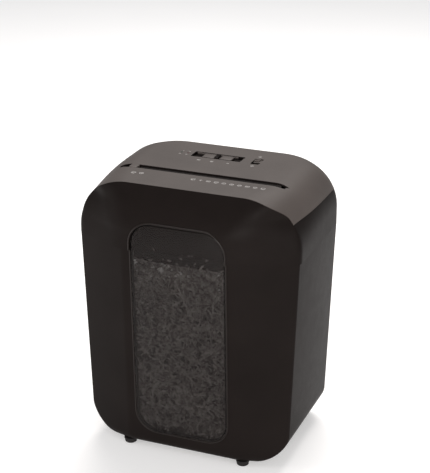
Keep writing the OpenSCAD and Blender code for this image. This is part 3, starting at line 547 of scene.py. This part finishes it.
def head_half_loop(h):
    """Right half of the head's outline at height h, from the front middle to the back middle."""
    front_half = side_profile(h, FRONT_FLAT, FRONT_SPRING)
    rear_half = side_profile(h, REAR_FLAT, REAR_SPRING)
    back = HEAD_BACK - 6 * (h / HEAD_H) ** 2
    corner = Vector((front_half, corner_y(h)))
    cut = SOFT_CUT
    if h >= CUT_START:
        sharper = (SOFT_CUT - SHARP_CUT) * (h - CUT_START) / (SPLIT_H - CUT_START)
        cut = max(SHARP_CUT, SOFT_CUT - sharper)
    last_x = front_half - cut
    front_x = [last_x * i / FRONT_STEPS for i in range(FRONT_STEPS + 1)]
    front = [Vector((x, front_y(x, h))) for x in front_x]
    middle = (rear_half, 0)
    side_start = corner + (Vector(middle) - corner).normalized() * cut
    points = front[:-1] + bezier(front[-1], corner, side_start, CORNER_STEPS)
    bend = curve_corner(corner, middle, (rear_half, back - REAR_FACET), 44, 8)
    points += [side_start.lerp(bend[0], (k + 1) / SIDE_STEPS) for k in range(SIDE_STEPS - 1)]
    points += bend
    rear = [(rear_half, back - REAR_FACET), (rear_half - REAR_FACET, back)]
    ring = [middle] + rear + [(0, back)]
    points += curve_corner(ring[0], ring[1], ring[2], 15, 6)
    points += curve_corner(ring[1], ring[2], ring[3], 15, 6)
    points.append(Vector((0, back)))
    return points


def head_heights():
    """Heights for the loft, closer together where the shoulders roll over."""
    heights = [HEAD_H * (1 - (1 - j / HEIGHT_STEPS) ** 2) for j in range(HEIGHT_STEPS + 1)]
    nearest = min(range(HEIGHT_STEPS), key=lambda j: abs(heights[j] - SPLIT_H))
    heights[nearest] = SPLIT_H
    return heights


def head_skin():
    """Points of the head's skin, with the faces of the cover and of the shell."""
    heights = head_heights()
    halves = [head_half_loop(h) for h in heights]
    count = len(halves[0])
    ring = 2 * count - 2
    verts = []
    for h, half in zip(heights, halves):
        left = [Vector((-p.x, p.y)) for p in half[1:-1]][::-1]
        verts += [(p.x, p.y, SEAT + h) for p in half + left]
    split = heights.index(SPLIT_H)
    first_cover = FRONT_STEPS + CORNER_STEPS
    cover_faces, shell_faces = [], []
    for j in range(len(heights) - 1):
        for i in range(ring):
            k = (i + 1) % ring
            face = (j * ring + i, j * ring + k, (j + 1) * ring + k, (j + 1) * ring + i)
            behind = first_cover <= min(i, k if k else ring) and max(i, k) <= ring - first_cover and k
            before = max(i, k) <= FRONT_STEPS or min(i, k if k else ring) >= ring - FRONT_STEPS
            if j < split:
                shell_faces.append(face)
            elif behind:
                cover_faces.append(face)
            elif before:
                shell_faces.append(face)
    # the flat top, its front edge held back from the shell by the width of the joint
    last = (len(heights) - 1) * ring
    cap = []
    for i in range(ring):
        x, y, z = verts[last + i]
        if i < first_cover or i > ring - first_cover:
            verts.append((x, y + JOINT_GAP, z))
            cap.append(len(verts) - 1)
        else:
            cap.append(last + i)
    cover_faces.append(tuple(cap))
    # the joint: the cover stops JOINT_GAP above the shell
    lifted = {}
    for f, face in enumerate(cover_faces[:-1]):
        low = [i for i in face if i // ring == split]
        if low:
            swap = []
            for i in face:
                if i in low:
                    if i not in lifted:
                        x, y, z = verts[i]
                        verts.append((x, y, z + JOINT_GAP))
                        lifted[i] = len(verts) - 1
                    swap.append(lifted[i])
                else:
                    swap.append(i)
            cover_faces[f] = tuple(swap)
    return verts, cover_faces, shell_faces


def used_only(verts, faces):
    order = sorted({i for face in faces for i in face})
    index = {old: new for new, old in enumerate(order)}
    return [verts[i] for i in order], [tuple(index[i] for i in face) for face in faces]


def arch_path(grow, low, steps=12):
    """Arch outline as (x, height) from the left foot over the top to the right foot."""
    half, high, radius = ARCH_HALF + grow, ARCH_H + grow, ARCH_R + grow
    points = [(-half, low + (high - radius - low) * k / 6) for k in range(6)]
    points += [(-half + radius - radius * math.cos(a), high - radius + radius * math.sin(a))
               for a in [math.pi / 2 * k / steps for k in range(steps + 1)]]
    points += [(-half + radius + (2 * half - 2 * radius) * k / 10, high) for k in range(1, 10)]
    points += [(half - radius + radius * math.sin(a), high - radius + radius * math.cos(a))
               for a in [math.pi / 2 * k / steps for k in range(steps + 1)]]
    points += [(half, high - radius - (high - radius - low) * k / 6) for k in range(1, 7)]
    return points


def build_shell(verts, faces):
    plastic_black = finish["black_plastic"]
    shell = loose_object("front_shell_skin", *used_only(verts, faces), plastic_black)
    solidify(shell, SHELL_WALL)
    apply_modifiers(shell)
    arch = [(x, SEAT + h) for x, h in arch_path(0, -12)]
    block = loft([[(x, y, z) for x, z in arch] for y in (-150, -97)], cap_first=True, cap_last=True)
    boolean(shell, loose_object("arch_cutter", *block, shadow_finish))
    vents = [slab(-108 + 9 * i, 126, 4, 26, 1.9, SEAT + 20, SEAT + 46) for i in range(12)]
    boolean(shell, loose_object("vent_cutter", *joined(vents), shadow_finish))
    finish_piece(shell, "head", 0.45)
    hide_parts(*[n for n in ("front_shell", "rear_shell") if n in nodes])


def groove_block():
    """The groove's own form, a V with a flat floor."""
    section = ((-GROOVE_TOP, TOP + 0.6), (-GROOVE_FLOOR, TOP - GROOVE_DEPTH),
               (GROOVE_FLOOR, TOP - GROOVE_DEPTH), (GROOVE_TOP, TOP + 0.6))
    loops = [[(x, THROAT_Y + dy, z) for dy, z in section] for x in (-GROOVE_HALF, GROOVE_HALF)]
    return loft(loops, cap_first=True, cap_last=True)


def build_cover(verts, faces):
    charcoal = finish["charcoal_plastic"]
    cover = loose_object("top_cover_skin", *used_only(verts, faces), charcoal)
    solidify(cover, COVER_WALL)
    apply_modifiers(cover)
    # floors and walls for the wells and the groove
    blocks = [
        slab(*SELECTOR, SELECTOR_WELL[0] + 4, SELECTOR_WELL[1] + 4, 3, TOP - 8, TOP - 1),
        slab(*LOCK, LOCK_WELL[0] + 5, LOCK_WELL[1] + 5, 3, TOP - 8, TOP - 1),
        slab(0, THROAT_Y, 236, 20, 1, TOP - 8, TOP - 1.2),
        slab(0, THROAT_Y, 276, 18, 1, TOP - 12, TOP - 6.3),
    ]
    boolean(cover, loose_object("well_blocks", *joined(blocks), charcoal), "UNION")
    cuts = [
        groove_block(),
        slab(*SELECTOR, *SELECTOR_WELL, 2.5, TOP - WELL_DEPTH, TOP + 2),
        slab(*LOCK, *LOCK_WELL, 2.5, TOP - WELL_DEPTH, TOP + 2),
    ]
    boolean(cover, loose_object("well_cutter", *joined(cuts), charcoal))
    # the paper entry, the short pocket beside it and the lamps' holes
    deep = [
        slab(THROAT_X, THROAT_Y, 2 * THROAT_HALF, 7, 3.4, TOP - 20, TOP - 2),
        slab(-134, THROAT_Y, 7, 7, 2, TOP - 20, TOP - 2),
    ]
    deep += [lathe(x, y, [(1.9, TOP - 12), (1.9, TOP + 2)], 24) for x, y in LAMPS]
    boolean(cover, loose_object("slot_cutter", *joined(deep), charcoal))
    paint_recess_shade(cover)
    finish_piece(cover, "head", 0.5)
    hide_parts("top_cover")


def build_head():
    verts, cover_faces, shell_faces = head_skin()
    build_shell(verts, shell_faces)
    build_cover(verts, cover_faces)
    path = [(x, front_y(x, h) - 0.1, SEAT + h) for x, h in arch_path(LIP_OUT, 0.6)]
    mesh_object("arch_lip", *tube(path, LIP_R), "head", "black_plastic", lip_highlight_finish)


def in_well(x, y, place, size):
    margin = 0.5
    return abs(x - place[0]) < size[0] / 2 + margin and abs(y - place[1]) < size[1] / 2 + margin


def in_recess(place, normal):
    """True for a face that lies in the groove, the selector well or the lock well."""
    x, y, z = place
    if z > TOP - 0.3:
        return False
    # past the entry only the groove's steep flanks count, so that the cover's shoulders keep their colour
    along = abs(x) < 118 or abs(x) < GROOVE_HALF and abs(normal.y) > 0.5
    groove = abs(y - THROAT_Y) < 8.0 and along
    return groove or in_well(x, y, SELECTOR, SELECTOR_WELL) or in_well(x, y, LOCK, LOCK_WELL)


def paint_recess_shade(obj):
    # faces of the groove and the wells take the black finish: painted shade in the recesses of the charcoal
    # cover
    obj.data.materials.append(finish["black_plastic"])
    for polygon in obj.data.polygons:
        if in_recess([c / MM for c in polygon.center], polygon.normal):
            polygon.material_index = 1


def finish_piece(obj, body, width):
    bevel(obj, width)
    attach(obj, body)


# ---- throat bridge, controls and marks on the top ----

def build_bridge():
    """Bump that bridges the groove beside the entry."""
    bridge = slab(-113, THROAT_Y, 13, 15.6, 3, TOP - 5.5, TOP + 0.5, 0.8)
    mesh_object("throat_bridge", *bridge, "head", "charcoal_plastic", finish["charcoal_plastic"])


def build_selector():
    x, y = SELECTOR
    # raised frames inside the well, outside the slide's travel
    low, high = TOP - WELL_DEPTH - 0.2, TOP - 0.8
    steps = [
        slab(x - 30.5, y + 10.5, 17, 2.2, 0.8, low, high, 0.4),
        slab(x + 32.5, y - 10.5, 15, 2.2, 0.8, low, high, 0.4),
        slab(x + 40.6, y, 1.8, 20, 0.6, low, high, 0.4),
        slab(x, y + 10.9, 60, 1.8, 0.6, low, high, 0.3),
    ]
    mesh_object("selector_steps", *joined(steps), "head", "charcoal_plastic", finish["charcoal_plastic"])
    knob = [slab(x, y, 50, 18, 2, TOP - 4.0, TOP - 1.8, 0.5)]
    knob += [slab(x, y - 2, 6.4, 16, 1.6, TOP - 2.5, TOP + 2.0, 0.8)]
    knob += [slab(x, y - 7 + 2.6 * k, 6.0, 0.8, 0.3, TOP + 1.7, TOP + 2.35, 0.2) for k in range(5)]
    black = finish["black_plastic"]
    slider = mesh_object("selector_knob", *joined(knob), "selector", "control_plastic", black)
    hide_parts("selector_slider")
    tiles = [slab(x + side * 14.5, y, 19.5, 16.6, 1.5, TOP - 2.2, TOP - 0.5, 0.4) for side in (-1, 1)]
    mesh_object("selector_tiles", *joined(tiles), "selector", "control_plastic", finish["charcoal_plastic"])
    stem = slab(x, y, 6, 4, 1, TOP - 8, TOP - 3.9)
    mesh_object("selector_stem", *stem, "selector", "control_plastic", finish["control_plastic"])


def build_lock():
    x, y = LOCK[0], LOCK[1] + 5
    knob = [slab(x, y, 12, 14, 1.6, TOP - 4.0, TOP - 1.0, 0.5)]
    knob += [slab(x - 1.2, y + 1.4, 8.4, 10, 1.2, TOP - 1.4, TOP + 0.9, 0.6)]
    knob += [slab(x - 1.2, y - 1.4 + 2.6 * k, 7.0, 0.9, 0.3, TOP + 0.7, TOP + 1.5, 0.3) for k in range(3)]
    charcoal = finish["charcoal_plastic"]
    lock = mesh_object("lock_knob", *joined(knob), "safety_lock", "control_plastic", charcoal)
    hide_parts("lock_slider")
    stem = slab(x, y, 4, 5, 1, TOP - 8, TOP - 3.9)
    mesh_object("lock_stem", *stem, "safety_lock", "control_plastic", finish["control_plastic"])


def bar(x, y, width, depth, turn=0.0):
    """Thin printed bar on the top, turned about its middle."""
    cos, sin = math.cos(turn), math.sin(turn)
    loops = []
    for z in (MARK_LOW, MARK_HIGH):
        corners = [(dx * width / 2, dy * depth / 2) for dx, dy in ((-1, -1), (1, -1), (1, 1), (-1, 1))]
        loops.append([(x + px * cos - py * sin, y + px * sin + py * cos, z) for px, py in corners])
    return loft(loops, cap_first=True, cap_last=True)


def ring_mark(x, y, outer, inner, steps=24):
    profile = [(outer, MARK_LOW), (outer, MARK_HIGH), (inner, MARK_HIGH), (inner, MARK_LOW)]
    profile.append(profile[0])
    return loft(circles(x, y, profile, steps))


def sheet_mark(x, y, size):
    """A sheet of paper over three falling strips."""
    marks = [bar(x, y + size * 0.45, size, size * 0.14)]
    marks += [bar(x + dx * size, y + size * 0.1, size * 0.14, size * 0.8) for dx in (-0.43, 0.43)]
    marks += [bar(x + dx * size, y - size * 0.35, size * 0.12, size * 0.5) for dx in (-0.2, 0, 0.2)]
    return marks


def disc_mark(x, y, size):
    return [ring_mark(x, y, size * 0.5, size * 0.36), ring_mark(x, y, size * 0.16, size * 0.05)]


def card_mark(x, y, size):
    marks = [bar(x, y + dy * size, size, size * 0.14) for dy in (0.3, -0.3)]
    marks += [bar(x + dx * size, y, size * 0.12, size * 0.6) for dx in (-0.46, 0.46)]
    marks.append(bar(x - size * 0.1, y, size * 0.45, size * 0.1))
    return marks


def cross_mark(x, y, size):
    return [ring_mark(x, y, size * 0.5, size * 0.38), bar(x, y, size * 0.8, size * 0.12, math.pi / 4),
            bar(x, y, size * 0.3, size * 0.3)]


def arrow_mark(x, y, size, turn=0.0):
    return [bar(x, y, size * 0.14, size * 0.8, turn),
            bar(x - size * 0.16, y + size * 0.2, size * 0.14, size * 0.5, turn + 2.3),
            bar(x + size * 0.16, y + size * 0.2, size * 0.14, size * 0.5, turn - 2.3)]


def build_marks():
    # marks in front of the groove: a pair on the left and a row on the right
    marks = sheet_mark(-101, -50.5, 7.0) + disc_mark(-88.5, -49, 7.2)
    row = [sheet_mark, arrow_mark, card_mark, sheet_mark, cross_mark]
    row += [disc_mark, cross_mark, card_mark, cross_mark, sheet_mark]
    for k, mark in enumerate(row):
        marks += mark(-5 + 12.4 * k, -46, 6.6)
    # marks of the selector, the lamps and the lock
    marks += card_mark(-31.6, 40.5, 5.2) + ring_pair(-9.7, 40.5) + arrow_mark(16.4, 40.5, 5.5, 1.57)
    marks += [bar(x, 58.5, 3.2, 1.3) for x in (-71, -60)]
    marks += [bar(-70.6, 73.4, 1.4, 1.4), bar(-60, 73.6, 3.0, 1.0)]
    marks += ring_pair(53, 88.5) + ring_pair(56, 43.5)
    mesh_object("top_marks", *joined(marks), "head", "control_plastic", print_finish)


def ring_pair(x, y):
    return [ring_mark(x, y, 2.4, 1.7), bar(x, y, 0.8, 2.2)]


# ---- bin ----

def bin_points(z):
    """Right half of the bin's outline at height z, clipped by its round lower side corners."""
    d = (RIM - z) * LEAN
    limit = BIN_HALF_W
    if z < FOOT_H + CORNER_R:
        flat = BIN_HALF_W - (RIM - FOOT_H) * LEAN - CORNER_R
        drop = (FOOT_H + CORNER_R - z) / CORNER_R
        limit = flat + CORNER_BULGE * CORNER_R * math.sqrt(max(0.0, 1 - drop * drop))
    tuck = 0.0
    if z < FOOT_H + TURN_UNDER:
        drop = (FOOT_H + TURN_UNDER - z) / TURN_UNDER
        tuck = TURN_UNDER * (1 - math.sqrt(max(0.0, 1 - drop * drop)))
    half = BIN_HALF_W - d
    front, back = BIN_FRONT + d + tuck, BIN_BACK - d - tuck
    facet_y = BIN_FRONT + FRONT_FACET
    rear_y, rear_x = BIN_BACK - REAR_FACET, half - REAR_FACET
    corners = [(PANEL_HALF, front), (half, facet_y), (half, rear_y), (rear_x, back)]
    if limit < half:
        slope = (facet_y - front) / (half - PANEL_HALF)
        corners[1] = (limit, front + slope * max(0.0, limit - PANEL_HALF))
        corners[2] = (limit, min(back, back - (limit - rear_x) * (back - rear_y) / REAR_FACET))
        corners[3] = (min(rear_x, limit - 1), back)
    return corners


def bin_loop(z):
    return [(p.x, p.y, z) for p in mirrored_plan(bin_points(z), (5.0, 3.2, 5.0, 5.0), 4)]


def panel_y(z):
    return BIN_FRONT + (RIM - z) * LEAN


def window_points(grow, steps=12):
    """Window outline as (x, z), round at its four corners."""
    half, low, high, r = WIN_HALF + grow, WIN_LOW - grow, WIN_HIGH + grow, WIN_R + grow
    points = []
    centres = ((half - r, high - r, 0), (-half + r, high - r, 90),
               (-half + r, low + r, 180), (half - r, low + r, 270))
    for cx, cz, start in centres:
        for k in range(steps + 1):
            a = math.radians(start + 90 * k / steps)
            points.append((cx + r * math.cos(a), cz + r * math.sin(a)))
    return points


def build_tub():
    levels = [FOOT_H + 74 * (k / 22) ** 1.6 for k in range(23)] + [120, 180, 240, 300, RIM - 3, RIM]
    skin = loft([bin_loop(z) for z in levels], cap_first=True)
    tub = loose_object("bin_tub_skin", *skin, finish["black_plastic"], 28)
    solidify(tub, WALL)
    apply_modifiers(tub, 28)
    loops = [[(x, panel_y(z) + out, z) for x, z in window_points(0.6)] for out in (-12, 12)]
    cutter = loft(loops, cap_first=True, cap_last=True)
    boolean(tub, loose_object("window_cutter", *cutter, shadow_finish))
    finish_piece(tub, "bin", 0.5)
    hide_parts("bin_tub")


def bead_path():
    """Points (x, z) round the window's opening, from the rim on the left to the rim on the right."""
    below = [(x, z) for x, z in window_points(BEAD_OUT, 14) if z < RIM - 1]
    left = sorted([p for p in below if p[0] < 0], key=lambda p: -p[1])
    right = sorted([p for p in below if p[0] >= 0], key=lambda p: p[1])
    end = (WIN_HALF + BEAD_OUT, RIM - 0.6)
    path = [(-end[0], end[1])] + left + right + [end]
    spread = []
    for (x0, z0), (x1, z1) in zip(path, path[1:]):
        parts = max(1, int(math.hypot(x1 - x0, z1 - z0) / 14))
        spread += [(x0 + (x1 - x0) * k / parts, z0 + (z1 - z0) * k / parts) for k in range(parts)]
    return spread + [end]


def build_bin_details():
    bead = tube([(x, panel_y(z) - 0.2, z) for x, z in bead_path()], BEAD_R)
    mesh_object("window_bead", *bead, "bin", "black_plastic", lip_highlight_finish)
    # rail that closes the opening behind the pane, just below the rim; its near-black shadow finish, darker
    # than the bin's black plastic, is painted shade
    y, width = panel_y(338), 2 * WIN_HALF - 4
    rail = [slab(0, y + 6.4, width, 2.4, 0.8, 329, 344.5, 0.8)]
    rail.append(slab(0, y + 8.6, width, 3.4, 0.8, 341.5, 344.5, 0.6))
    mesh_object("window_rail", *joined(rail), "bin", "black_plastic", shadow_finish)
    # rib under the plunger of the head-seated switch
    rib = slab(0, 114.5, 10, 16, 1, 274, 299.4, 0.6)
    mesh_object("interlock_rib", *rib, "bin", "black_plastic", finish["black_plastic"])


def build_window():
    loops = []
    for grow, out in ((0, 5.0), (0, -0.6), (-0.3, -1.2), (-0.9, -1.7), (-1.8, -2.0)):
        loops.append([(x, panel_y(z) + out, z) for x, z in window_points(grow)])
    pane = loose_object("smoked_pane", *loft(loops, cap_last=True), finish["smoked_window"], 50)
    solidify(pane, PANE_WALL)
    apply_modifiers(pane, 40)
    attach(pane, "bin")
    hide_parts("bin_window")
    # dark turned edge, which the eye sees end-on
    edge = [[(x, panel_y(z) + out, z) for x, z in window_points(grow)]
            for grow, out in ((0.05, 5.1), (0.05, -0.5), (-1.4, -0.5), (-1.4, 5.1), (0.05, 5.1))]
    mesh_object("pane_edge", *loft(edge), "bin", "black_plastic", shadow_finish)


def build_feet():
    for name in ("front_left", "front_right", "rear_left", "rear_right"):
        low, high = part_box("foot_" + name)
        x, y = (low.x + high.x) / 2 / MM, (low.y + high.y) / 2 / MM
        profile = [(7.4, 0), (8.8, 0.3), (9.4, 1.0), (9.5, 4.2), (10.2, 5.0), (10.5, 6.0), (10.5, 8.6)]
        pad = lathe(x, y, profile)
        foot = mesh_object("foot_pad_" + name, *pad, "bin", "foot_rubber", finish["foot_rubber"])
        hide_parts("foot_" + name)


# ---- shredded paper ----

def strip(rng, centre, length, width, heading, lean, curl, twist, segments=6):
    """One cross-cut shred: a thin curled ribbon."""
    turn = Euler((lean, rng.uniform(-0.5, 0.5), heading)).to_matrix()
    thick = 0.11
    loops = []
    for k in range(segments + 1):
        t = k / segments - 0.5
        angle = curl * t
        along = length * (math.sin(angle) / curl if abs(curl) > 0.05 else t)
        lift = length * ((1 - math.cos(angle)) / curl if abs(curl) > 0.05 else 0)
        roll = twist * t
        bent = Vector((-math.sin(angle), 0, math.cos(angle)))
        across = bent * math.sin(roll) + Vector((0, math.cos(roll), 0))
        normal = bent * math.cos(roll) - Vector((0, math.sin(roll), 0))
        spine = Vector((along, 0, lift))
        loops.append([centre + turn @ (spine + across * width / 2 * a + normal * thick * b)
                      for a, b in ((-1, -1), (1, -1), (1, 1), (-1, 1))])
    return loft(loops, cap_first=True, cap_last=True)


def wall_gap(x, y):
    """Distance from a place to the nearest wall of the bin, near its rim."""
    half, front, back = BIN_HALF_W - WALL, BIN_FRONT + WALL, BIN_BACK - WALL
    facet = math.hypot(half - PANEL_HALF, FRONT_FACET)
    front_gap = ((y - front) * (half - PANEL_HALF) - (abs(x) - PANEL_HALF) * FRONT_FACET) / facet
    rear_gap = (half + back - REAR_FACET - abs(x) - y) / math.sqrt(2)
    return min(half - abs(x), y - front, back - y, front_gap, rear_gap)


def heap_height(x, y):
    """Height of the heap: highest behind the window, and kept under the seated head."""
    base = 326 + 3.0 * math.sin(x / 31 + 0.7) * math.cos(y / 27) + 2.5 * math.sin((x + y) / 17)
    gap = wall_gap(x, y)
    back = max(0.0, y + 30) / 150
    return base - 34 * back ** 1.5 - max(0.0, 19 - gap) * 1.1 - max(0.0, -x - 90) * 0.12


def build_heap(rng):
    shreds = []
    while len(shreds) < HEAP_SHREDS:
        x, y = rng.uniform(-172, 172), rng.uniform(-114, 119)
        if wall_gap(x, y) < 9 or (abs(x) < 9 and y > 98):
            continue
        depth = rng.random() ** 1.4 * 18
        lean = rng.gauss(0, 0.5)
        length = rng.uniform(20, 36)
        top = heap_height(x, y) - depth - abs(math.sin(lean)) * 2
        reach = min(wall_gap(x, y) - 4, 16)
        length = min(length, max(10, 2 * reach))
        width, heading = rng.uniform(3.2, 4.2), rng.uniform(0, 6.28)
        curl, twist = rng.gauss(0, 1.5), rng.gauss(0, 0.9)
        shreds.append(strip(rng, Vector((x, y, top)), length, width, heading, lean, curl, twist))
    return loose_object("paper_heap", *joined(shreds), paper_finish, 60)


def build_window_layer(rng):
    layer = []
    while len(layer) < WINDOW_SHREDS:
        x, z = rng.uniform(-71, 71), rng.uniform(44, 337)
        centre = Vector((x, panel_y(z) + 5.0 + rng.random() * 10, z))
        heading, length, width = rng.uniform(0, 6.28), rng.uniform(14, 30), rng.uniform(1.8, 3.8)
        lean, curl, twist = rng.gauss(0, 0.16), rng.gauss(0, 0.8), rng.gauss(0, 0.7)
        ribbon, faces = strip(rng, Vector((0, 0, 0)), length, width, heading, lean, curl, twist)
        # the ribbons lie against the pane, so they are turned upright
        ribbon = [(centre.x + v.x, max(centre.y + v.z, panel_y(centre.z + v.y) + 3.4), centre.z + v.y)
                  for v in (Vector(p) for p in ribbon)]
        layer.append((ribbon, faces))
    return loose_object("paper_behind_window", *joined(layer), window_paper, 60)


def build_packed_block(rng):
    """Packed paper under the loose layer, a lumpy block that closes the view; its dark grey is painted
    shade.
    """
    loops = []
    for z, inset in ((20, 16), (80, 14), (160, 12), (230, 12), (262, 14), (272, 24), (277, 46)):
        ring = mirrored_plan(bin_points(z), (22, 22, 22, 22), 6)
        wide, deep = 1 - inset / 170, 1 - inset / 118
        lumpy = []
        for p in ring:
            x, y = p.x * wide + rng.uniform(-1, 1), p.y * deep + rng.uniform(-1, 1)
            lumpy.append((x, y, z + rng.uniform(-2, 2)))
        loops.append(lumpy)
    return loose_object("paper_packed", *loft(loops, cap_first=True, cap_last=True), packed_shade_finish, 60)


def build_paper():
    rng = random.Random(20)
    for build in (build_heap, build_window_layer, build_packed_block):
        obj = build(rng)
        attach(obj, "bin")


# ---- carried-over CAD nodes ----

def dress_nodes():
    """Gives every CAD node its slot's finish, and eases the edges of those that show."""
    slots = {item["node"]: item["material_slot"] for item in frame["record"]["subparts"]}
    for name, obj in nodes.items():
        material = finish[slots[name]]
        for place in obj.material_slots:
            place.material = material
        if not obj.material_slots:
            obj.data.materials.append(material)
    for name in ("lower_housing", "cord_gland", "throat_guide_front", "throat_guide_rear"):
        bevel(nodes[name], 0.4)


def build_floor():
    verts = [(x * FLOOR_HALF, y * FLOOR_HALF, 0) for x, y in ((-1, -1), (1, -1), (1, 1), (-1, 1))]
    floor = loose_object("floor", verts, [(0, 1, 2, 3)], floor_finish())


build_camera()
build_lights()
build_floor()
dress_nodes()
build_head()
build_bridge()
build_selector()
build_lock()
build_marks()
build_tub()
build_bin_details()
build_window()
build_feet()
build_paper()
